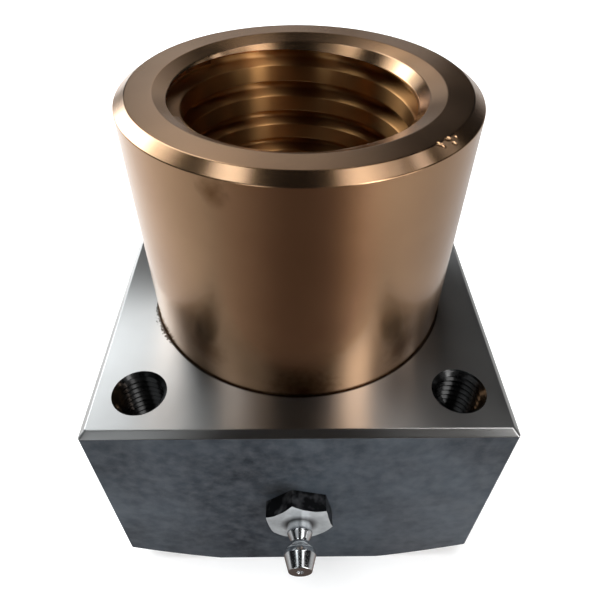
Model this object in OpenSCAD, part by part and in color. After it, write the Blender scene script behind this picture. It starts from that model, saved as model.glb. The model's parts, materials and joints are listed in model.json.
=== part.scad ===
// Lead screw nut: a bronze nut pressed into a square steel mounting block.
// The screw runs along Z. The origin is on the screw's axis at the bottom face,
// and the grease nipple points along -Y.

/* [Steel block] */
// Width and depth of the square block
block_w = 80; // [78:0.5:90]
// Height of the block
block_h = 55; // [48:1:80]
// Chamfer round the top edges
block_chamfer = 1.2; // [0.5:0.1:2]
// Chamfer down the four upright edges
upright_chamfer = 0.6; // [0.2:0.1:1.5]
// Radius at which the turned bottom face starts to slope up to the corners
relief_r = 44.4; // [42:0.1:52]
// Slope of that relief in degrees
relief_angle = 30; // [10:1:40]

/* [Mounting screws] */
// Distance between neighbouring tapped holes
hole_spacing = 61; // [60:0.5:64]
// Drilled diameter of the tapped holes, M10
tap_drill_d = 8.5; // [6.8:0.1:8.5]
// Diameter of their countersunk mouths
tap_mouth_d = 10.4; // [9:0.1:10.4]
// Depth of the drilled cylinder
tap_depth = 30; // [20:1:35]

/* [Bronze nut] */
// Outer diameter of the bronze nut
nut_d = 63; // [60:0.5:66]
// Overall length of the bronze nut
nut_len = 102; // [90:1:150]
// Outer chamfer at the top, measured along the radius
nut_chamfer_r = 2.5; // [1:0.1:3.5]
// Outer chamfer at the top, measured along the axis
nut_chamfer_z = 1.45; // [0.8:0.05:2.5]
// Radius of the conical mouth at the top face
mouth_r = 25; // [24:0.1:26]
// Depth of the conical mouth
mouth_depth = 1.95; // [1.2:0.05:3]

/* [Screw thread] */
// Lead of the single-start trapezoidal thread
thread_pitch = 6.35; // [5:0.05:8]
// Diameter over the thread's crests in the nut
thread_minor_d = 41.5; // [40:0.1:43]
// Diameter at the groove's root
thread_major_d = 47; // [45:0.1:48]
// Included angle between the flanks in degrees
thread_angle = 30; // [20:1:35]
// Width of the groove at the crest diameter
groove_mouth = 3; // [2.2:0.1:3.4]
// Facets round one turn of the groove
groove_segments = 36; // [24:4:48]

/* [Grease nipple] */
// Height of the nipple's axis above the bottom face
nipple_z = 27.5; // [20:0.5:30]
// Width of the hexagon across its flats
hex_af = 12.7; // [11:0.1:14]
// Thickness of the hexagon
hex_t = 4; // [3:0.1:5]
// Diameter of the threaded shank
shank_d = 10; // [8:0.5:10]
// Length of the threaded shank
shank_len = 5.5; // [4.5:0.5:7]
// Diameter of the coupling head
head_d = 6.4; // [6:0.1:7]
// Length from the block's face to the nipple's tip
nipple_len = 13.5; // [13:0.1:15]
// Diameter of the ball valve
ball_d = 2; // [1.8:0.1:2.1]
// How far the ball is pushed in by the grease
ball_travel = 0.8; // [0.5:0.1:1]

/* [Hidden] */

steel = [0.42, 0.43, 0.45];
bronze = [0.72, 0.45, 0.26];
zinc = [0.72, 0.73, 0.74];
ball_steel = [0.80, 0.80, 0.82];
spring_steel = [0.50, 0.50, 0.52];

block_r = block_w / 2;
nut_r = nut_d / 2;
minor_r = thread_minor_d / 2;
root_r = thread_major_d / 2;
drill_point = 118;             // included angle of a drill's tip
bottom_chamfer = 1;            // 45 degree chamfer at the nut's lower mouth
grease_way_d = 4;              // drilled way from the nipple to the thread
shank_clear = 1.5;             // room left behind the nipple's shank
seat_chamfer = 0.3;            // broken edge where the bronze enters the block

nipple_seat_depth = shank_len + shank_clear;
chamber_d = 2.5;               // ball and spring chamber in the nipple
orifice_d = 1.4;               // opening that the ball closes
ball_gap = 0.05;               // play of the ball against its seat
crimp_d = 1.5;                 // opening left in the crimped inner end
crimp_t = 0.8;                 // thickness of the crimped lip
orifice_len = 0.6;             // straight stretch at the tip
wire_d = 0.3;                  // spring wire
spring_d = 2.1;                // spring outer diameter
pressed_pitch = 1.08;          // spacing of the coils with the ball pushed right in
spring_sides = 6;              // sides of the wire's section
spring_steps = 14;             // rings in each coil

seat_len = (chamber_d - orifice_d) / 2;
ball_r = ball_d / 2;
// The ball lies against a 45 degree seat: its centre sits ball_r + ball_gap from the cone
seat_end = orifice_len + seat_len;
ball_back = seat_end - chamber_d / 2 + (ball_r + ball_gap) * sqrt(2);
ball_y = -block_r - nipple_len + ball_back;
spring_front_y = ball_y + ball_r * cos(asin((spring_d - wire_d) / ball_d)) + wire_d / 2 + ball_gap;
spring_back_y = -block_r + shank_len - crimp_t - wire_d / 2;
spring_run = spring_back_y - spring_front_y;
spring_turns = floor((spring_run - ball_travel) / pressed_pitch);

// Closed solid through rings of points, one ring after the other, each with the same
// number of sides
module swept(points, sides) {
    rings = len(points) / sides - 1;
    skin = [
        for (i = [0 : rings - 1], k = [0 : sides - 1])
            let(
                a = i * sides + k, b = i * sides + (k + 1) % sides,
                c = a + sides, d = b + sides
            )
            each [[a, b, d], [a, d, c]]
    ];
    first = [for (k = [sides - 1 : -1 : 0]) k];
    last = [for (k = [0 : sides - 1]) rings * sides + k];
    polyhedron(points, concat([first, last], skin), convexity = 12);
}

/* ---- steel block ---- */

// Bevelled rectangle: the block's section seen from one side
module block_side() {
    polygon([
        [-block_r, 0], [block_r, 0],
        [block_r, block_h - block_chamfer], [block_r - block_chamfer, block_h],
        [-block_r + block_chamfer, block_h], [-block_r, block_h - block_chamfer]
    ]);
}

// The block's outline from above, with its upright edges broken
module block_plan() {
    b = block_r;
    c = upright_chamfer;
    polygon([
        [b - c, -b], [b, -b + c], [b, b - c], [b - c, b],
        [-b + c, b], [-b, b - c], [-b, -b + c], [-b + c, -b]
    ]);
}

// Everything the facing tool leaves: flat in the middle, sloping up outside relief_r
module turned_envelope() {
    reach = block_w;
    rotate_extrude($fn = 96)
        polygon([
            [0, 0], [relief_r, 0],
            [reach, (reach - relief_r) * tan(relief_angle)],
            [reach, block_h + 1], [0, block_h + 1]
        ]);
}

// A drilled blind hole with a 45 degree mouth, opening upwards at z = 0
module tapped_hole(drill_d, mouth_d, depth) {
    drill_r = drill_d / 2;
    mouth = (mouth_d - drill_d) / 2;
    point = drill_r / tan(drill_point / 2);
    rotate_extrude($fn = 48)
        polygon([
            [0, 1], [drill_r + mouth + 1, 1], [drill_r, -mouth],
            [drill_r, -depth], [0, -depth - point]
        ]);
}

// Bore that the bronze is pressed into, with a broken edge at the top
module nut_seat() {
    rotate_extrude($fn = 128)
        polygon([
            [0, -1], [nut_r, -1], [nut_r, block_h - seat_chamfer],
            [nut_r + seat_chamfer + 1, block_h + 1], [0, block_h + 1]
        ]);
}

module nipple_seat() {
    translate([0, -block_r, nipple_z])
        rotate([90, 0, 0])
            tapped_hole(shank_d, shank_d + 1.2, nipple_seat_depth);
}

module grease_way() {
    translate([0, 0, nipple_z])
        rotate([90, 0, 0])
            cylinder(h = block_r - 1, d = grease_way_d, $fn = 32);
}

module flange_block() {
    color(steel)
        difference() {
            intersection() {
                linear_extrude(block_h) block_plan();
                rotate([90, 0, 0])
                    linear_extrude(block_w + 2, center = true) block_side();
                rotate([90, 0, 90])
                    linear_extrude(block_w + 2, center = true) block_side();
                turned_envelope();
            }
            nut_seat();
            for (x = [-1, 1], y = [-1, 1])
                translate([x * hole_spacing / 2, y * hole_spacing / 2, block_h])
                    tapped_hole(tap_drill_d, tap_mouth_d, tap_depth);
            nipple_seat();
            grease_way();
        }
}

/* ---- bronze nut with its internal screw thread ---- */

// Half-section of the threaded bush before the groove is cut
module nut_profile() {
    polygon([
        [minor_r, bottom_chamfer], [minor_r + bottom_chamfer, 0],
        [nut_r, 0],
        [nut_r, nut_len - nut_chamfer_z], [nut_r - nut_chamfer_r, nut_len],
        [mouth_r, nut_len], [minor_r, nut_len - mouth_depth]
    ]);
}

// Corners of the groove's section as [radius, height]: 15 degree flanks either side of
// the groove, carried inwards past the crest so that the cut comes out clean
function groove_section() = let(
    inner_r = minor_r - 1,
    slope = tan(thread_angle / 2),
    at_inner = groove_mouth / 2 + (minor_r - inner_r) * slope,
    at_root = groove_mouth / 2 - (root_r - minor_r) * slope
) [[inner_r, -at_inner], [root_r, -at_root], [root_r, at_root], [inner_r, at_inner]];

// One right-handed groove from below the nut to above it, as a swept solid
module thread_groove() {
    section = groove_section();
    groove_angle = 113;        // direction in which one groove's middle lies...
    groove_drop = 9.55;        // ...this far below the top face
    turns_above = 2;
    turns_below = ceil((nut_len - groove_drop) / thread_pitch) + 1;
    rings = (turns_above + turns_below) * groove_segments;
    points = [
        for (i = [0 : rings])
            let(
                turn = i / groove_segments - turns_below,
                angle = groove_angle + 360 * turn,
                middle = nut_len - groove_drop + thread_pitch * turn
            )
            for (p = section) [p[0] * cos(angle), p[0] * sin(angle), middle + p[1]]
    ];
    swept(points, len(section));
}

module bronze_nut() {
    color(bronze)
        difference() {
            rotate_extrude($fn = 144) nut_profile();
            thread_groove();
            grease_way();
        }
}

/* ---- grease nipple ---- */

// Moves a shape turned about Z so that it points out of the block's face: its height
// becomes the distance in front of the face
module on_nipple_axis() {
    translate([0, -block_r, nipple_z]) rotate([90, 0, 0]) children();
}

// Turned outside of the nipple: shank, collar, waist, coupling head and tip
module nipple_outside() {
    shank_r = shank_d / 2;
    lead_in = 0.7;
    collar_r = 2.6;
    waist_r = 1.8;
    head_r = head_d / 2;
    tip_r = 2.35;
    inside_hex = hex_t / 2;
    collar_s = hex_t + 2;
    head_s = nipple_len - 4.5;
    polygon([
        [0, -shank_len], [shank_r - lead_in, -shank_len], [shank_r, -shank_len + lead_in],
        [shank_r, inside_hex], [collar_r, inside_hex], [collar_r, collar_s],
        [waist_r, collar_s + 1.6], [waist_r, head_s - 0.7],
        [head_r, head_s + 0.4], [head_r, head_s + 1.4],
        [tip_r, nipple_len], [0, nipple_len]
    ]);
}

// Inside: crimped inner end, chamber, seat and orifice
module nipple_inside() {
    polygon([
        [0, -shank_len - 1], [crimp_d / 2, -shank_len - 1],
        [crimp_d / 2, -shank_len + crimp_t], [chamber_d / 2, -shank_len + crimp_t],
        [chamber_d / 2, nipple_len - seat_end], [orifice_d / 2, nipple_len - orifice_len],
        [orifice_d / 2, nipple_len + 1], [0, nipple_len + 1]
    ]);
}

// Hexagon with its outer corners turned off at 30 degrees
module hex_collar() {
    corner_r = hex_af / 2 / cos(30);
    hex_turn = -17.5;
    facing = 0.5;
    beyond = corner_r + 1;
    intersection() {
        rotate([0, 0, hex_turn]) cylinder(h = hex_t, r = corner_r, $fn = 6);
        rotate_extrude($fn = 64)
            polygon([
                [0, -1], [beyond, -1], [beyond, hex_t - facing - (beyond - corner_r) * tan(30)],
                [corner_r - facing / tan(30), hex_t], [0, hex_t]
            ]);
    }
}

module grease_nipple() {
    color(zinc)
        on_nipple_axis()
            difference() {
                union() {
                    hex_collar();
                    rotate_extrude($fn = 64) nipple_outside();
                }
                rotate_extrude($fn = 48) nipple_inside();
            }
}

module nipple_ball() {
    color(ball_steel)
        translate([0, ball_y, nipple_z]) sphere(d = ball_d, $fn = 48);
}

// Helical compression spring between the ball and the crimped lip
module nipple_spring() {
    coil_r = (spring_d - wire_d) / 2;
    rings = spring_turns * spring_steps;
    points = [
        for (i = [0 : rings])
            let(a = 360 * i / spring_steps, y = spring_front_y + spring_run * i / rings)
            for (k = [0 : spring_sides - 1])
                let(
                    b = 360 * k / spring_sides,
                    r = coil_r + wire_d / 2 * cos(b)
                )
                [r * cos(a), y - wire_d / 2 * sin(b), nipple_z + r * sin(a)]
    ];
    color(spring_steel) swept(points, spring_sides);
}

flange_block();
bronze_nut();
grease_nipple();
nipple_ball();
nipple_spring();
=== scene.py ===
import json
import math

import bmesh
import bpy
from mathutils import Matrix, Vector


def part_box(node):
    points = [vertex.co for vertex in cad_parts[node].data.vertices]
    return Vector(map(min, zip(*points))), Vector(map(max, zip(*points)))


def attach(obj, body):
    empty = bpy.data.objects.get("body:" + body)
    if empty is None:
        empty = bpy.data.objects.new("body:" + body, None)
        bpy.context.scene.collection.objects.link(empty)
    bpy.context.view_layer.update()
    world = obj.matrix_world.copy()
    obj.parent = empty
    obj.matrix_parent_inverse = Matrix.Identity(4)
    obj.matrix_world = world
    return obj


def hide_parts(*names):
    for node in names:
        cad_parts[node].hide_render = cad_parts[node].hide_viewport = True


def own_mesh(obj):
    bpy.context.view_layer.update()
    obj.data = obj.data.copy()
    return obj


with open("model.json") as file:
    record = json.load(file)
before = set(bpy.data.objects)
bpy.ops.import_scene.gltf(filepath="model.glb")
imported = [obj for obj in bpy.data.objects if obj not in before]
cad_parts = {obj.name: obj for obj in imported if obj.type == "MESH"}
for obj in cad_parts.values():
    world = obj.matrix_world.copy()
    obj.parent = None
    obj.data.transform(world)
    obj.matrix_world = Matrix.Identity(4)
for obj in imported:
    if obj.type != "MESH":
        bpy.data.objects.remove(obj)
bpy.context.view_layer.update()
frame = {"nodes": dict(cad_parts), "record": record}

# ---------------------------------------------------------------- sizes, in millimetres
MM = 0.001


def box_mm(node):
    """A CAD node's lowest and highest corner, in millimetres."""
    low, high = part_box(node)
    return low / MM, high / MM


record_mounts = {m["name"]: m for m in frame["record"]["mounts"]}
_, block_high = box_mm("flange_block")
_, nut_high = box_mm("bronze_nut")
nipple_low, nipple_high = box_mm("grease_nipple")
spring_low, spring_high = box_mm("nipple_spring")

BLOCK_R = block_high.x
BLOCK_H = block_high.z
NUT_R = nut_high.x
NUT_TOP = nut_high.z
MINOR_R = record_mounts["screw_thread"]["dims"]["r_mm"]
HOLE_AT = record_mounts["mounting_holes"]["dims"]["spacing_x_mm"] / 2
TAP_DRILL_R = record_mounts["mounting_holes"]["dims"]["hole_r_mm"]
NIPPLE_Z = record_mounts["grease_coupler"]["pos_m"][2] / MM
HEAD_R = record_mounts["grease_coupler"]["dims"]["r_mm"]
NIPPLE_LEN = -block_high.y - nipple_low.y
SHANK_LEN = nipple_high.y + BLOCK_R

# The bronze nut; its mouth slopes gently to MOUTH_STEP_R and then steeply to the thread's crests
NUT_CHAMFER_R = 2.1
NUT_CHAMFER_Z = 1.4
MOUTH_R = 25.0
MOUTH_STEP_R = 22.4
MOUTH_STEP_DEPTH = 1.0
MOUTH_DEPTH = 2.8
LOWER_CHAMFER = 1.0
NUT_EDGE = 0.18  # rounding of its turned corners

THREAD_PITCH = 6.35
THREAD_ROOT_R = 23.5
THREAD_FLANK = math.radians(15)
CREST_BREAK = 0.12  # how far the crests' edges are broken
GROOVE_MOUTH = 3.0
GROOVE_ANGLE = 113.0
GROOVE_DROP = 9.55
GREASE_WAY_R = 2.0

BLOCK_CHAMFER = 1.2
UPRIGHT_CHAMFER = 0.6
BLOCK_EDGE = 0.16
RELIEF_R = 44.4
RELIEF_ANGLE = math.radians(30)
SEAT_CHAMFER = 0.3  # broken edge where the bronze enters the block

TAP_PITCH = 1.5
TAP_ROOT_R = 5.05
TAP_MOUTH_R = 5.2
TAP_DEPTH = 30.0
TAP_THREADED = 25.0
TAP_TURNS = (35, 115, 195, 275)  # where each hole's thread starts, in degrees

HEX_AF = 12.7
HEX_T = 4.0
HEX_FACING = 0.5  # depth that the turned chamfer takes off the hexagon's corners
HEX_TURN = math.radians(-17.5)
SHANK_R = 5.0
SHANK_CLEAR = 1.5  # room behind the shank
STEM_R = 2.6
WAIST_R = 1.8
TIP_R = 2.35
ORIFICE_R = 0.7
CHAMBER_R = 1.25
CRIMP_R = 0.75
CRIMP_T = 0.8
NIPPLE_EDGE = 0.25

SPRING_WIRE_R = 0.15
SPRING_TURNS = 14

# ---------------------------------------------------------------- mesh tools


def mesh_object(name, points, faces):
    """A mesh object from points in millimetres."""
    mesh = bpy.data.meshes.new(name)
    mesh.from_pydata([tuple(c * MM for c in p) for p in points], [], faces)
    mesh.validate()
    obj = bpy.data.objects.new(name, mesh)
    bpy.context.scene.collection.objects.link(obj)
    bm = bmesh.new()
    bm.from_mesh(mesh)
    bmesh.ops.recalc_face_normals(bm, faces=bm.faces)
    bm.to_mesh(mesh)
    bm.free()
    return obj


def lathe(name, outline, steps):
    """Turns a closed outline of (radius, height) points about Z, with poles on the axis."""
    points, rings = [], []
    for radius, height in outline:
        if radius < 1e-6:
            rings.append([len(points)] * steps)
            points.append((0, 0, height))
            continue
        rings.append(list(range(len(points), len(points) + steps)))
        for k in range(steps):
            turn = math.tau * k / steps
            points.append((radius * math.cos(turn), radius * math.sin(turn), height))
    faces = []
    for i, ring in enumerate(rings):
        after = rings[(i + 1) % len(rings)]
        for k in range(steps):
            corners = [ring[k], ring[(k + 1) % steps], after[(k + 1) % steps], after[k]]
            corners = list(dict.fromkeys(corners))
            if len(corners) > 2:
                faces.append(corners)
    return mesh_object(name, points, faces)


def swept(name, rings):
    """A closed solid through rings of points that have the same number of sides."""
    sides = len(rings[0])
    points = [p for ring in rings for p in ring]
    faces = [list(range(sides)), list(range(len(points) - sides, len(points)))]
    for i in range(len(rings) - 1):
        for k in range(sides):
            a, b = i * sides + k, i * sides + (k + 1) % sides
            faces.append([a, b, b + sides, a + sides])
    return mesh_object(name, points, faces)


def rounded(outline, radius, steps=3):
    """Rounds every corner of an open outline of (x, y) points, apart from its two ends."""
    out = [outline[0]]
    for before, corner, after in zip(outline, outline[1:], outline[2:]):
        here = Vector(corner)
        to_before = Vector(before) - here
        to_after = Vector(after) - here
        reach = min(radius, to_before.length * 0.45, to_after.length * 0.45)
        start = here + to_before.normalized() * reach
        end = here + to_after.normalized() * reach
        for i in range(steps + 1):
            t = i / steps
            out.append(tuple(start * (1 - t) ** 2 + here * (2 * t * (1 - t)) + end * t ** 2))
    return out + [outline[-1]]


def cut(obj, *tools, operation="DIFFERENCE"):
    """Cuts, joins or intersects obj with the tools, which are used up."""
    for tool in tools:
        step = obj.modifiers.new("cut", "BOOLEAN")
        step.operation = operation
        step.solver = "MANIFOLD"
        step.object = tool
        made = bpy.data.meshes.new_from_object(
            obj.evaluated_get(bpy.context.evaluated_depsgraph_get())
        )
        obj.modifiers.clear()
        old = obj.data
        obj.data = made
        bpy.data.meshes.remove(old)
        bpy.data.objects.remove(tool)
    return obj


def placed(obj, matrix):
    obj.data.transform(matrix)
    return obj


def soften(obj, sharp_degrees):
    """Smooth shading that keeps true corners, with flat faces left flat."""
    bm = bmesh.new()
    bm.from_mesh(obj.data)
    bmesh.ops.remove_doubles(bm, verts=bm.verts, dist=1e-7)
    bmesh.ops.dissolve_degenerate(bm, edges=bm.edges, dist=1e-7)
    bm.to_mesh(obj.data)
    bm.free()
    obj.data.shade_smooth()
    obj.data.set_sharp_from_angle(angle=math.radians(sharp_degrees))
    weighted = obj.modifiers.new("normals", "WEIGHTED_NORMAL")
    weighted.keep_sharp = True
    weighted.weight = 80
    return obj


def helix_rings(section, pitch, start_turn, end_turn, steps, angle, height):
    """Rings of a right-handed groove: section is a list of (radius, height) points."""
    rings = []
    count = round((end_turn - start_turn) * steps)
    for i in range(count + 1):
        turn = start_turn + i / steps
        a = math.radians(angle) + math.tau * turn
        z = height + pitch * turn
        rings.append([(r * math.cos(a), r * math.sin(a), z + h) for r, h in section])
    return rings


# ---------------------------------------------------------------- pieces


def groove_section():
    """The lead screw groove's section, with broken crest edges and a small root fillet."""
    slope = math.tan(THREAD_FLANK)
    half_mouth = GROOVE_MOUTH / 2
    half_root = half_mouth - (THREAD_ROOT_R - MINOR_R) * slope
    inner_r = MINOR_R - 1.0
    flare = CREST_BREAK
    upper = [
        (inner_r, half_mouth + 2.2 * flare + 1.0),
        (MINOR_R - 0.02, half_mouth + 2.2 * flare),
        (MINOR_R + 0.35 * flare, half_mouth + flare),
        (MINOR_R + 1.4 * flare, half_mouth + 0.25 * flare),
        (MINOR_R + 0.5, half_mouth - 0.5 * slope),
        (THREAD_ROOT_R - 0.5, half_root + 0.5 * slope),
        (THREAD_ROOT_R - 0.25, half_root - 0.02),
        (THREAD_ROOT_R - 0.07, half_root - 0.2),
        (THREAD_ROOT_R, half_root - 0.45),
    ]
    return [(r, -h) for r, h in upper] + list(reversed(upper))


# Knocks in the chamfer at the front right: angle about the axis, height, size and depth
RIM_DENTS = [
    (-47.8, 101.85, 0.7, 0.20), (-47.0, 101.5, 0.4, 0.16), (-43.6, 101.9, 0.9, 0.16),
    (-42.6, 101.25, 0.5, 0.14), (-40.4, 101.6, 0.35, 0.14),
]


def make_dent(angle, height, size, depth):
    """A long ball that bites the chamfer to the given depth."""
    ball = lathe(
        "dent",
        [
            (size * math.sin(math.radians(a)), size * math.cos(math.radians(a)))
            for a in range(0, 181, 15)
        ],
        16,
    )
    slope = Vector((NUT_CHAMFER_Z, NUT_CHAMFER_R)).normalized()
    r = NUT_R - NUT_CHAMFER_R + (NUT_TOP - height) * NUT_CHAMFER_R / NUT_CHAMFER_Z
    out = size - depth
    a = math.radians(angle)
    centre_r, centre_z = r + out * slope.x, height + out * slope.y
    where = Vector((centre_r * math.cos(a), centre_r * math.sin(a), centre_z))
    stretch = Matrix.Scale(1.7, 4, Vector((math.cos(a + 0.8), math.sin(a + 0.8), 0)))
    return placed(ball, Matrix.Translation(where * MM) @ stretch)


def make_bronze_nut():
    chamfer_in = NUT_R - NUT_CHAMFER_R
    outside = rounded(
        [
            (MINOR_R + 3.0, 0.0),
            (NUT_R, 0.0),
            (NUT_R, NUT_TOP - NUT_CHAMFER_Z),
            (chamfer_in, NUT_TOP),
            (MOUTH_R, NUT_TOP),
            (MOUTH_STEP_R, NUT_TOP - MOUTH_STEP_DEPTH),
            (MINOR_R, NUT_TOP - MOUTH_DEPTH),
            (MINOR_R, NUT_TOP / 2),
        ],
        NUT_EDGE,
    )
    outline = outside + [(MINOR_R, LOWER_CHAMFER), (MINOR_R + LOWER_CHAMFER, 0.0)]
    nut = lathe("bronze_nut_turned", outline, 240)
    turns_below = math.ceil((NUT_TOP - GROOVE_DROP) / THREAD_PITCH) + 1
    groove = swept(
        "groove",
        helix_rings(
            groove_section(), THREAD_PITCH, -turns_below, 2.3, 120, GROOVE_ANGLE,
            NUT_TOP - GROOVE_DROP,
        ),
    )
    way = lathe(
        "way",
        [(0, 0), (GREASE_WAY_R, 0), (GREASE_WAY_R, NUT_R + 2), (0, NUT_R + 2)],
        32,
    )
    placed(way, on_nipple_axis(0.0))
    cut(nut, groove, way, *[make_dent(*dent) for dent in RIM_DENTS])
    return soften(nut, 32)


def on_nipple_axis(face_y):
    """Turns +Z to point out of the block along -Y, at the nipple's height."""
    return Matrix.Translation((0, face_y * MM, NIPPLE_Z * MM)) @ Matrix.Rotation(
        math.radians(90), 4, "X"
    )


def tap_section():
    """A 60 degree metric groove with a flat root."""
    half_mouth = TAP_PITCH * 0.46
    half_root = TAP_PITCH * 0.09
    beyond = 0.5
    slope = (half_mouth - half_root) / (TAP_ROOT_R - TAP_DRILL_R)
    upper = [(TAP_DRILL_R - beyond, half_mouth + beyond * slope), (TAP_ROOT_R, half_root)]
    return [(r, -h) for r, h in upper] + list(reversed(upper))


def tap_cutter(name, turn_degrees):
    """The hole that a drill, a countersink and a tap leave, opening upwards at z = 0."""
    point = TAP_DRILL_R / math.tan(math.radians(59))
    mouth = TAP_MOUTH_R - TAP_DRILL_R
    hole = lathe(
        name,
        [
            (0, 1), (TAP_DRILL_R + mouth + 1, 1), (TAP_DRILL_R, -mouth),
            (TAP_DRILL_R, -TAP_DEPTH), (0, -TAP_DEPTH - point),
        ],
        48,
    )
    groove = swept(
        name + "_groove",
        helix_rings(
            tap_section(), TAP_PITCH, -TAP_THREADED / TAP_PITCH, 1.2, 48, turn_degrees, 0.0
        ),
    )
    return cut(hole, groove, operation="UNION")


def square_ring(half, corner, height):
    """One level of the block: a square with small rounded upright edges."""
    ring = []
    for k in range(4):
        middle = math.radians(45 + 90 * k)
        cx = (half - corner) * (1 if math.cos(middle) > 0 else -1)
        cy = (half - corner) * (1 if math.sin(middle) > 0 else -1)
        for i in range(5):
            a = middle + math.radians(-45 + 22.5 * i)
            ring.append((cx + corner * math.cos(a), cy + corner * math.sin(a), height))
    return ring


def make_flange_block():
    c = BLOCK_CHAMFER
    edge = rounded(
        [(0, 0), (0, BLOCK_H - c), (c, BLOCK_H), (5 * c, BLOCK_H)],
        BLOCK_EDGE,
    )[:-1]
    rings = [square_ring(BLOCK_R - inset, UPRIGHT_CHAMFER, z) for inset, z in edge]
    block = swept("flange_block_machined", rings)
    reach = BLOCK_R * 2
    envelope = lathe(
        "relief",
        [
            (0, 0), (RELIEF_R, 0), (reach, (reach - RELIEF_R) * math.tan(RELIEF_ANGLE)),
            (reach, BLOCK_H + 5), (0, BLOCK_H + 5),
        ],
        192,
    )
    cut(block, envelope, operation="INTERSECT")
    seat_r = NUT_R + 0.01
    bore = lathe(
        "bore",
        [
            (0, -1), (seat_r, -1), (seat_r, BLOCK_H - SEAT_CHAMFER),
            (NUT_R + SEAT_CHAMFER + 1, BLOCK_H + 1), (0, BLOCK_H + 1),
        ],
        240,
    )
    holes = []
    for i, (x, y) in enumerate([(-1, -1), (1, -1), (1, 1), (-1, 1)]):
        hole = tap_cutter(f"tap_{i}", TAP_TURNS[i])
        placed(hole, Matrix.Translation((x * HOLE_AT * MM, y * HOLE_AT * MM, BLOCK_H * MM)))
        holes.append(hole)
    seat_len = SHANK_LEN + SHANK_CLEAR
    seat = lathe(
        "nipple_seat",
        [(0, 1), (SHANK_R + 1.6, 1), (SHANK_R, -0.6), (SHANK_R, -seat_len), (0, -seat_len - 3)],
        48,
    )
    placed(seat, on_nipple_axis(-BLOCK_R))
    way = lathe(
        "way",
        [(0, 5), (GREASE_WAY_R, 5), (GREASE_WAY_R, BLOCK_R - 3), (0, BLOCK_R - 3)],
        32,
    )
    placed(way, on_nipple_axis(0.0))
    cut(block, bore, *holes, seat, way)
    return soften(block, 32)


def make_grease_nipple():
    corner_r = HEX_AF / 2 / math.cos(math.radians(30))
    collar_s = HEX_T + 2
    head_s = NIPPLE_LEN - 4.5
    turned = rounded(
        [
            (0, -SHANK_LEN), (SHANK_R - 0.7, -SHANK_LEN), (SHANK_R, -SHANK_LEN + 0.7),
            (SHANK_R, HEX_T / 2), (STEM_R, HEX_T / 2), (STEM_R, collar_s),
            (WAIST_R, collar_s + 1.6), (WAIST_R, head_s - 0.7),
            (HEAD_R, head_s + 0.4), (HEAD_R, head_s + 1.4),
            (TIP_R, NIPPLE_LEN), (ORIFICE_R, NIPPLE_LEN), (ORIFICE_R, NIPPLE_LEN - 0.6),
            (CHAMBER_R, NIPPLE_LEN - 1.15), (CHAMBER_R, -SHANK_LEN + CRIMP_T),
        ],
        NIPPLE_EDGE,
        4,
    )
    turned = turned[1:] + [(CRIMP_R, -SHANK_LEN + CRIMP_T), (CRIMP_R, -SHANK_LEN)]
    steps = 96
    body = lathe("nipple_turned", turned, steps)
    slope = math.tan(math.radians(30))
    top_r = corner_r - HEX_FACING / slope
    points = []
    for level in range(4):
        for k in range(steps):
            a = math.tau * k / steps + HEX_TURN
            within = (math.degrees(a - HEX_TURN) % 60) - 30
            side_r = HEX_AF / 2 / math.cos(math.radians(within))
            rise = min(HEX_T, HEX_T - HEX_FACING + (corner_r - side_r) * slope)
            radius, height = [
                (side_r, 0.0), (side_r, rise), (min(side_r - 0.02, top_r), HEX_T), (4.4, HEX_T)
            ][level]
            points.append((radius * math.cos(a), radius * math.sin(a), height))
    faces = [list(range(steps)), list(range(3 * steps, 4 * steps))]
    for level in range(3):
        for k in range(steps):
            a, b = level * steps + k, level * steps + (k + 1) % steps
            faces.append([a, b, b + steps, a + steps])
    hexagon = mesh_object("hexagon", points, faces)
    cut(body, hexagon, operation="UNION")
    body.name = "grease_nipple_turned"
    placed(body, on_nipple_axis(-BLOCK_R))
    return soften(body, 32)


def make_spring():
    wire_r = SPRING_WIRE_R
    coil_r = (spring_high.z - spring_low.z) / 2 - wire_r
    low, high = spring_low.y + wire_r, spring_high.y - wire_r
    steps, sides = 32, 10
    rings = []
    for i in range(SPRING_TURNS * steps + 1):
        a = math.tau * i / steps
        y = low + (high - low) * i / (SPRING_TURNS * steps)
        ring = []
        for k in range(sides):
            b = math.tau * k / sides
            r = coil_r + wire_r * math.cos(b)
            ring.append((r * math.cos(a), y + wire_r * math.sin(b), NIPPLE_Z + r * math.sin(a)))
        rings.append(ring)
    return soften(swept("nipple_spring_coil", rings), 60)


# ---------------------------------------------------------------- materials


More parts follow.
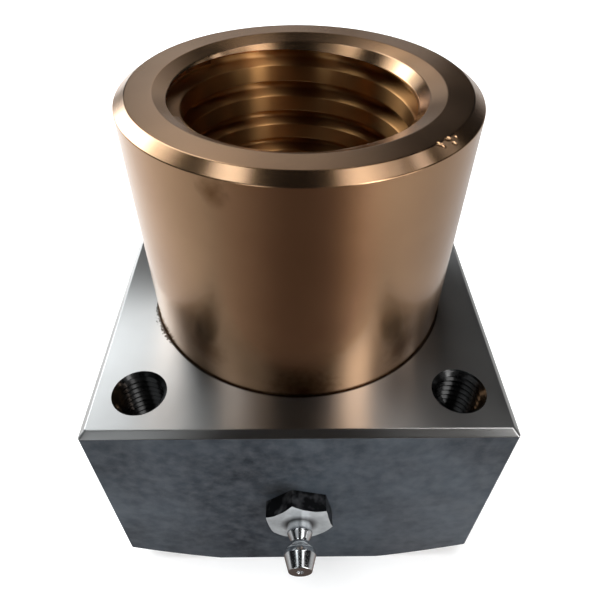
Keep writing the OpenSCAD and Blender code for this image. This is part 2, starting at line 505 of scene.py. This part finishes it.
class Nodes:
    """Short names for building a material's nodes."""

    def __init__(self, name):
        self.material = bpy.data.materials.new(name)
        self.material.use_nodes = True
        self.tree = self.material.node_tree
        self.shader = self.tree.nodes["Principled BSDF"]
        self.place = self.add("ShaderNodeTexCoord").outputs["Object"]

    def add(self, kind, **settings):
        node = self.tree.nodes.new(kind)
        for key, value in settings.items():
            setattr(node, key, value)
        return node

    def link(self, source, target):
        if isinstance(source, (int, float)):
            target.default_value = source
        else:
            self.tree.links.new(source, target)

    def math(self, operation, *values):
        node = self.add("ShaderNodeMath", operation=operation)
        for i, value in enumerate(values):
            self.link(value, node.inputs[i])
        return node.outputs[0]

    def noise(self, scale, detail=4.0, roughness=0.55):
        node = self.add("ShaderNodeTexNoise")
        node.inputs["Scale"].default_value = scale
        node.inputs["Detail"].default_value = detail
        node.inputs["Roughness"].default_value = roughness
        self.link(self.place, node.inputs["Vector"])
        return node.outputs["Fac"]

    def spread(self, value, low, high, to_low=0.0, to_high=1.0):
        node = self.add("ShaderNodeMapRange")
        for key, number in zip(
            ("From Min", "From Max", "To Min", "To Max"), (low, high, to_low, to_high)
        ):
            node.inputs[key].default_value = number
        self.link(value, node.inputs["Value"])
        return node.outputs["Result"]

    def curve(self, value, points):
        """A float curve through (x, y) points, with x from -1 to 1."""
        node = self.add("ShaderNodeFloatCurve")
        line = node.mapping.curves[0]
        while len(line.points) < len(points):
            line.points.new(0.5, 0.5)
        for point, (x, y) in zip(line.points, points):
            point.location = ((x + 1) / 2, y)
        node.mapping.update()
        self.link(self.spread(value, -1.0, 1.0), node.inputs["Value"])
        return node.outputs["Value"]

    def mix(self, amount, first, second):
        node = self.add("ShaderNodeMix", data_type="RGBA")
        self.link(amount, node.inputs["Factor"])
        for value, key in ((first, 6), (second, 7)):
            if isinstance(value, tuple):
                node.inputs[key].default_value = (*value, 1.0)
            else:
                self.tree.links.new(value, node.inputs[key])
        return node.outputs[2]

    def set(self, **values):
        for key, value in values.items():
            socket = self.shader.inputs[key.replace("_", " ")]
            if isinstance(value, tuple):
                socket.default_value = (*value, 1.0)
            else:
                self.link(value, socket)

    def bump(self, height, strength, distance, below=None):
        node = self.add("ShaderNodeBump")
        node.inputs["Strength"].default_value = strength
        node.inputs["Distance"].default_value = distance
        self.link(height, node.inputs["Height"])
        if below is not None:
            self.tree.links.new(below, node.inputs["Normal"])
        return node.outputs["Normal"]

    def parts(self):
        node = self.add("ShaderNodeSeparateXYZ")
        self.tree.links.new(self.place, node.inputs[0])
        return node.outputs

    def length(self, a, b):
        squares = self.math("MULTIPLY", a, a), self.math("MULTIPLY", b, b)
        return self.math("SQRT", self.math("ADD", *squares))

    def radius(self):
        """Distance from the screw's axis."""
        x, y, _ = self.parts()
        return self.length(x, y)

    def turned_along(self):
        """A coordinate that grows across the tool marks on walls and on faces alike."""
        return self.math("ADD", self.radius(), self.parts()[2])

    def tool_marks(self, across, pitch):
        """Fine feed marks: a wave across the coordinate, made uneven by noise."""
        wander = 0.3  # of a pitch
        combine = self.add("ShaderNodeCombineXYZ")
        self.link(across, combine.inputs[0])
        uneven = self.add("ShaderNodeTexNoise", noise_dimensions="1D")
        uneven.inputs["Scale"].default_value = 0.5 / pitch
        uneven.inputs["Detail"].default_value = 3.0
        self.link(across, uneven.inputs["W"])
        wandering = self.math("MULTIPLY", uneven.outputs["Fac"], wander * math.tau)
        phase = self.math("ADD", self.math("MULTIPLY", across, math.tau / pitch), wandering)
        wave = self.math("SINE", phase)
        return self.math("ADD", self.math("MULTIPLY", wave, 0.35), uneven.outputs["Fac"])

    def stain(self, centre, size, strength):
        """1 at a place in metres, fading with a ragged edge, times the strength."""
        offset = self.add("ShaderNodeVectorMath", operation="DISTANCE")
        self.tree.links.new(self.place, offset.inputs[0])
        offset.inputs[1].default_value = centre
        ragged = self.math("MULTIPLY", self.noise(700, 4), size)
        far = self.math("ADD", offset.outputs["Value"], ragged)
        return self.spread(far, size * 0.5, size * 1.6, strength, 0.0)

    def around_axis(self, strength):
        """Stretches highlights across marks that run round the screw's axis."""
        tangent = self.add("ShaderNodeTangent", direction_type="RADIAL", axis="Z")
        self.tree.links.new(tangent.outputs[0], self.shader.inputs["Tangent"])
        self.shader.inputs["Anisotropic"].default_value = strength
        self.shader.inputs["Anisotropic Rotation"].default_value = 0.25


# Brown stains on the nut: place in metres, size and strength
NUT_STAINS = [
    ((-0.0124, -0.0290, 0.0982), 0.0026, 0.65),
    ((-0.0171, -0.0264, 0.0630), 0.0042, 0.65),
    ((0.0196, -0.0247, 0.0620), 0.0046, 0.80),
    ((0.0008, -0.0315, 0.0560), 0.0068, 0.95),
]


def bronze_material():
    n = Nodes("turned_bronze")
    patches = n.spread(n.noise(38, 5), 0.35, 0.7)
    colour = n.mix(patches, (0.55, 0.328, 0.176), (0.46, 0.264, 0.136))
    stained = 0.0
    for centre, size, strength in NUT_STAINS:
        stained = n.math("MAXIMUM", stained, n.stain(centre, size, strength))
    colour = n.mix(stained, colour, (0.15, 0.060, 0.018))
    n.set(Base_Color=colour, Metallic=1.0)
    n.set(Roughness=n.spread(n.noise(90, 4), 0.3, 0.75, 0.20, 0.28))
    n.set(Coat_Weight=n.spread(stained, 0.0, 0.5, 0.4, 0.0))
    n.set(Coat_Roughness=0.12, Coat_IOR=1.65)
    marks = n.tool_marks(n.turned_along(), 0.00035)
    n.set(Normal=n.bump(marks, 0.35, 0.000006))
    n.around_axis(0.75)
    return n.material


def bore_material():
    n = Nodes("cut_thread_bronze")
    patches = n.spread(n.noise(60, 5), 0.35, 0.7)
    # A darker, more saturated copy of the turned bronze outside: painted shade for the deep bore.
    colour = n.mix(patches, (0.47, 0.243, 0.090), (0.39, 0.196, 0.070))
    n.set(Base_Color=colour, Metallic=1.0)
    n.set(Roughness=n.spread(n.noise(120, 4), 0.3, 0.75, 0.32, 0.40))
    n.set(Coat_Weight=0.1, Coat_Roughness=0.12, Coat_IOR=1.6)
    marks = n.tool_marks(n.turned_along(), 0.0003)
    n.set(Normal=n.bump(marks, 0.35, 0.000008))
    n.around_axis(1.0)
    return n.material


def seam_grime(n):
    """Dark oil in the joint round the nut, which has crept onto the block at the left front."""
    x, y, _ = n.parts()
    dirty, gone, full = (math.radians(a) for a in (203, 13, 5))
    that_way = n.math(
        "ADD", n.math("MULTIPLY", x, math.cos(dirty)), n.math("MULTIPLY", y, math.sin(dirty))
    )
    near = n.spread(n.math("DIVIDE", that_way, n.radius()), math.cos(gone), math.cos(full))
    ragged = n.spread(n.noise(1400, 4, 0.7), 0.42, 0.68, 0.0, 0.0011)
    reach = n.math("SUBTRACT", n.radius(), n.math("MULTIPLY", near, ragged))
    return n.spread(reach, 0.0318, 0.0320, 0.92, 0.0)


def faced_steel_material():
    n = Nodes("faced_steel")
    patches = n.spread(n.noise(30, 4), 0.3, 0.7)
    colour = n.mix(patches, (0.53, 0.53, 0.525), (0.45, 0.445, 0.435))
    colour = n.mix(seam_grime(n), colour, (0.035, 0.022, 0.014))
    n.set(Base_Color=colour, Metallic=1.0)
    n.set(Roughness=n.spread(n.noise(60, 4), 0.3, 0.75, 0.285, 0.335))
    marks = n.tool_marks(n.radius(), 0.0005)
    n.set(Normal=n.bump(marks, 0.15, 0.000008))
    n.around_axis(0.93)
    return n.material


# Painted contact shadow of the nipple's hexagon: a dark patch on the block's face, above and at the
# left of it
HEX_SHADOW_PATCH = (-0.0040, -0.0400, 0.0345)


def scale_steel_material():
    """The block's rough side faces: dark blue-grey mill scale with lighter smudges, and a painted
    shadow above the nipple's hexagon.
    """
    n = Nodes("mill_scale_steel")
    clouds = n.spread(n.noise(26, 6, 0.62), 0.34, 0.68)
    grain = n.spread(n.noise(420, 3, 0.6), 0.35, 0.7)
    colour = n.mix(clouds, (0.018, 0.025, 0.034), (0.074, 0.093, 0.114))
    colour = n.mix(n.math("MULTIPLY", grain, 0.35), colour, (0.13, 0.14, 0.155))
    # painted shadow: the face darkens above and at the left of the nipple's hexagon
    colour = n.mix(n.stain(HEX_SHADOW_PATCH, 0.0050, 0.85), colour, (0.010, 0.009, 0.008))
    n.set(Base_Color=colour, Metallic=0.35)
    n.set(Roughness=n.spread(n.noise(70, 5), 0.3, 0.7, 0.42, 0.62))
    fine = n.bump(n.noise(900, 4, 0.6), 0.25, 0.00006)
    n.set(Normal=n.bump(n.noise(160, 5, 0.6), 0.3, 0.00015, fine))
    return n.material


def tapped_steel_material():
    n = Nodes("tapped_steel")
    patches = n.spread(n.noise(300, 4), 0.35, 0.7)
    # Near-black walls: painted shade deep in the tapped holes.
    n.set(Base_Color=n.mix(patches, (0.03, 0.03, 0.03), (0.012, 0.012, 0.012)), Metallic=1.0)
    n.set(Roughness=n.spread(n.noise(500, 3), 0.3, 0.7, 0.25, 0.4))
    n.set(Coat_Weight=0.5, Coat_Roughness=0.06, Coat_IOR=1.6)
    return n.material


def dark_flats_material():
    """The nipple's hexagon flats: painted near black, which stands in for their shade and dark
    reflection, with lighter grey specks in places.
    """
    n = Nodes("painted_dark_flats")
    grey_specks = n.spread(n.noise(420, 2, 0.5), 0.5, 0.8)
    # painted shade: near-black flats, flecked lighter grey
    n.set(Base_Color=n.mix(grey_specks, (0.008, 0.008, 0.009), (0.12, 0.12, 0.125)), Metallic=0.8)
    n.set(Roughness=n.spread(n.noise(400, 4), 0.3, 0.75, 0.28, 0.42))
    return n.material


def satin_zinc_material():
    """The hexagon's turned front, with painted shade: a dark ring in the corner round the stem."""
    n = Nodes("satin_zinc")
    patches = n.spread(n.noise(300, 5), 0.35, 0.7)
    colour = n.mix(patches, (0.58, 0.61, 0.625), (0.40, 0.425, 0.44))
    x, _, z = n.parts()
    off_axis = n.length(x, n.math("SUBTRACT", z, NIPPLE_Z * MM))
    # painted shade: dark in the corner round the stem, which the stem also mirrors
    corner = n.spread(off_axis, 0.0027, 0.0042, 0.92, 0.0)
    n.set(Base_Color=n.mix(corner, colour, (0.02, 0.02, 0.022)), Metallic=0.45)
    n.set(Roughness=n.spread(n.noise(400, 4), 0.3, 0.75, 0.30, 0.45))
    n.set(Normal=n.bump(n.noise(1200, 3), 0.2, 0.00003))
    return n.material


def zinc_material(name, colour, shade, roughness):
    n = Nodes(name)
    patches = n.spread(n.noise(220, 4), 0.35, 0.7)
    n.set(Base_Color=n.mix(patches, colour, shade), Metallic=1.0)
    n.set(Roughness=n.spread(n.noise(400, 4), 0.3, 0.75, roughness, roughness + 0.12))
    n.set(Normal=n.bump(n.noise(900, 3), 0.15, 0.00002))
    return n.material


def dress(obj, material):
    obj.data.materials.clear()
    obj.data.materials.append(material)


def paint_faces(obj, materials, choose):
    """Gives each face the material that choose picks from its centre and normal, in millimetres."""
    obj.data.materials.clear()
    for material in materials:
        obj.data.materials.append(material)
    for face in obj.data.polygons:
        face.material_index = choose(face.center / MM, face.normal)


# ---------------------------------------------------------------- the object

nut = make_bronze_nut()
paint_faces(
    nut,
    [bronze_material(), bore_material()],
    lambda c, n: 1 if math.hypot(c.x, c.y) < MOUTH_R - 0.05 and c.z < NUT_TOP - MOUTH_DEPTH else 0,
)
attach(nut, "nut")
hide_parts("bronze_nut")

block = make_flange_block()


def block_finish(c, n):
    faced, scale, tapped = 0, 1, 2
    for x in (-1, 1):
        for y in (-1, 1):
            if math.hypot(c.x - x * HOLE_AT, c.y - y * HOLE_AT) < TAP_MOUTH_R and c.z > 10:
                return tapped
    if abs(n.z) > 0.3:
        return faced
    if math.hypot(c.x, c.y) < NUT_R + 1:
        return faced
    return scale


paint_faces(
    block,
    [faced_steel_material(), scale_steel_material(), tapped_steel_material()],
    block_finish,
)
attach(block, "nut")
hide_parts("flange_block")

nipple = make_grease_nipple()


def nipple_finish(c, n):
    bright, black, satin = 0, 1, 2
    beyond_block = -BLOCK_R - c.y
    # the hexagon's flats take the near-black material: painted shade and dark reflection
    if beyond_block > 0 and abs(n.y) < 0.2 and math.hypot(c.x, c.z - NIPPLE_Z) > HEX_AF / 2 - 0.6:
        return black
    if 0 < beyond_block < HEX_T + 0.05 and n.y < -0.3:
        return satin
    return bright


paint_faces(
    nipple,
    [
        zinc_material("zinc_plate", (0.72, 0.73, 0.74), (0.60, 0.61, 0.62), 0.14),
        dark_flats_material(),
        satin_zinc_material(),
    ],
    nipple_finish,
)
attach(nipple, "nut")
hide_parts("grease_nipple")

spring = make_spring()
dress(spring, zinc_material("spring_wire", (0.50, 0.50, 0.52), (0.40, 0.40, 0.42), 0.25))
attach(spring, "nut")
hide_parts("nipple_spring")
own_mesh(spring)

ball = frame["nodes"]["nipple_ball"]
dress(ball, zinc_material("ball_steel", (0.80, 0.80, 0.82), (0.72, 0.72, 0.74), 0.08))

# ---------------------------------------------------------------- the studio

FLOOR_HALF = 6000.0
FLOOR_GLOW = 0.3
ROOM_R = 2500.0


def seen_directly(n):
    """1 for the rays that look at the background, in the camera or in metal and glass."""
    path = n.add("ShaderNodeLightPath").outputs
    seen = n.math("MAXIMUM", path["Is Camera Ray"], path["Is Glossy Ray"])
    return n.math("MAXIMUM", seen, path["Is Transmission Ray"])


def floor_material():
    n = Nodes("pale_floor")
    n.set(Base_Color=(0.80, 0.80, 0.80), Roughness=0.9)
    n.set(Emission_Color=(1.0, 1.0, 1.0))
    n.set(Emission_Strength=n.math("MULTIPLY", seen_directly(n), FLOOR_GLOW))
    return n.material


floor = mesh_object(
    "floor",
    [(x * FLOOR_HALF, y * FLOOR_HALF, 0.0) for x, y in ((-1, -1), (1, -1), (1, 1), (-1, 1))],
    [(0, 1, 2, 3)],
)
floor.data.materials.append(floor_material())

# What metal mirrors of the room: azimuth from the back (0) clockwise to the right (90),
# height above the horizon, full within, gone beyond, all in degrees, and strength
ROOM_LIGHTS = [
    (-43, 45, 8, 16, 2.0),
    (-58, 36, 8, 18, 2.1),
    (-57, 29, 7, 11, 4.5),
    (-52, 13, 6, 11, 4.0),
    (-46, 18, 6, 15, 1.8),
    (-33, 56, 3, 8, 1.5),
    (-20, 50, 2.5, 5, 2.0),
    (-20, 56, 2, 6, 0.8),
    (-14, 37, 3, 8, 0.35),
    (-16, 25, 3, 8, 0.2),
    (-17, 60, 3, 8, 0.2),
    (20, 62, 3, 7, 0.9),
    (-97, 66, 3, 9, 4.0),
    (103, 68, 3, 10, 2.8),
    (89, 58, 3, 7, 1.6),
    (77, 48, 2, 5, 2.9),
    (65, 36, 3, 7, 0.6),
    (134, 52, 6, 12, 2.8),
    (136, 36, 6, 11, 3.6),
    (137, 24, 5, 10, 3.4),
    (137, 9, 5, 11, 8.0),
    (118, 9, 5, 12, 2.8),
    (-153, 9, 5, 12, 2.6),
    (-135, 50, 8, 18, 0.45),
    (162, 31, 3, 8, 0.5),
    (-154, 31, 3, 8, 0.35),
    (-6, 32, 5, 17, 0.45),
    (12, 18, 2, 6, 0.4),
    (-4, 14, 6, 18, 0.15),
]
ROOM_DARK = 0.012
HORIZON_GLOW = 0.45
HORIZON_TOP = math.sin(math.radians(12))
# The table's brightness from the front (-1) round to the back (1), at the left and the right
TABLE_LEFT = [(-1.0, 0.10), (-0.95, 0.13), (-0.8, 0.25), (-0.5, 0.45), (0.15, 0.85), (1.0, 1.5)]
TABLE_RIGHT = [(-1.0, 0.10), (-0.95, 0.14), (-0.85, 0.33), (-0.7, 0.50), (0.2, 0.50), (1.0, 0.8)]


def towards(azimuth, height):
    """A unit vector from an azimuth and a height above the horizon, in degrees."""
    a, h = math.radians(azimuth), math.radians(height)
    return Vector((math.sin(a) * math.cos(h), math.cos(a) * math.cos(h), math.sin(h)))


def glowing(obj, name, strength, tint=None):
    """A glowing surface of the studio that the camera itself doesn't see."""
    n = Nodes(name)
    emission = n.add("ShaderNodeEmission")
    if tint:
        n.tree.links.new(tint(n), emission.inputs["Color"])
    n.link(strength(n), emission.inputs["Strength"])
    n.tree.links.new(emission.outputs[0], n.tree.nodes["Material Output"].inputs["Surface"])
    obj.data.materials.append(n.material)
    obj.visible_camera = False
    obj.visible_transmission = False


def direction(n):
    """The way from the object to a place on the room's wall, and its three parts."""
    look = n.add("ShaderNodeVectorMath", operation="NORMALIZE")
    n.tree.links.new(n.place, look.inputs[0])
    parts = n.add("ShaderNodeSeparateXYZ")
    n.tree.links.new(look.outputs[0], parts.inputs[0])
    return look.outputs[0], parts.outputs


def room_glow(n):
    """A dark room with a faint horizon, which fades at the front, and its windows and lamps."""
    look, parts = direction(n)
    horizon = n.spread(parts["Y"], -0.97, -0.80, 0.1 * HORIZON_GLOW, HORIZON_GLOW)
    glow = n.math("MULTIPLY", n.spread(parts["Z"], 0.0, HORIZON_TOP, 1.0, 0.0), horizon)
    glow = n.math("ADD", glow, ROOM_DARK)
    for azimuth, height, full, gone, strength in ROOM_LIGHTS:
        dot = n.add("ShaderNodeVectorMath", operation="DOT_PRODUCT")
        n.tree.links.new(look, dot.inputs[0])
        dot.inputs[1].default_value = towards(azimuth, height)
        low, high = math.cos(math.radians(gone)), math.cos(math.radians(full))
        lobe = n.spread(dot.outputs["Value"], low, high, 0.0, strength)
        glow = n.math("ADD", glow, lobe)
    return glow


def room_tint(n):
    """Cool daylight from the windows at the left and plain white elsewhere."""
    _, parts = direction(n)
    return n.mix(n.spread(parts["X"], -0.35, -0.1), (0.95, 1.0, 1.03), (1.0, 1.0, 1.0))


def table_glow(n):
    x, y, _ = n.parts()
    facing = n.math("DIVIDE", y, n.radius())
    left, right = n.curve(facing, TABLE_LEFT), n.curve(facing, TABLE_RIGHT)
    side = n.spread(n.math("DIVIDE", x, n.radius()), -0.2, 0.2)
    return n.math("ADD", left, n.math("MULTIPLY", side, n.math("SUBTRACT", right, left)))


def table_tint(n):
    """Brown in front of the object and neutral round it."""
    _, y, _ = n.parts()
    facing = n.spread(n.math("DIVIDE", y, n.radius()), -1.0, -0.6)
    return n.mix(facing, (1.0, 0.76, 0.66), (1.0, 1.0, 1.0))


room = lathe(
    "room",
    [(0, ROOM_R)] + [
        (ROOM_R * math.sin(math.radians(a)), ROOM_R * math.cos(math.radians(a)))
        for a in range(5, 95, 5)
    ] + [(0, -ROOM_R / 10)],
    72,
)
glowing(room, "room_glow", room_glow, room_tint)
table = lathe("table", [(0, 0.5), (ROOM_R * 0.9, 0.5), (ROOM_R * 0.9, 0.4), (0, 0.4)], 72)
glowing(table, "table_glow", table_glow, table_tint)
table.visible_diffuse = False
table.visible_shadow = False

world = bpy.data.worlds.new("white_backdrop")
world.use_nodes = True
world.node_tree.nodes["Background"].inputs["Color"].default_value = (1, 1, 1, 1)
world.node_tree.nodes["Background"].inputs["Strength"].default_value = 1.0
bpy.context.scene.world = world


def softbox(name, at, aim, size, power):
    """A square lamp at a place in millimetres, pointing at another place."""
    lamp = bpy.data.lights.new(name, "AREA")
    lamp.shape = "SQUARE"
    lamp.size = size * MM
    lamp.energy = power
    obj = bpy.data.objects.new(name, lamp)
    bpy.context.scene.collection.objects.link(obj)
    obj.location = Vector(at) * MM
    obj.rotation_euler = (Vector(aim) - Vector(at)).to_track_quat("-Z", "Y").to_euler()
    return obj


for lamp in (
    softbox("overhead", (-200, 200, 1000), (0, 0, 0), 900, 17.0),
    softbox("front_fill", (100, -900, 600), (0, 0, 30), 700, 5.0),
):
    lamp.visible_glossy = False

# ---------------------------------------------------------------- the camera

CAMERA_AT = Vector((-1.276, -93.388, 139.641))
CAMERA_TURN = (46.161, -0.379, -0.685)
FOCAL_LENGTH = 32.7

lens = bpy.data.cameras.new("camera")
lens.sensor_width = 36.0
lens.lens = FOCAL_LENGTH
lens.clip_start = 0.005
lens.clip_end = 50.0
camera = bpy.data.objects.new("camera", lens)
bpy.context.scene.collection.objects.link(camera)
camera.location = CAMERA_AT * MM
camera.rotation_euler = [math.radians(a) for a in CAMERA_TURN]
bpy.context.scene.camera = camera
bpy.context.scene.view_settings.view_transform = "Standard"
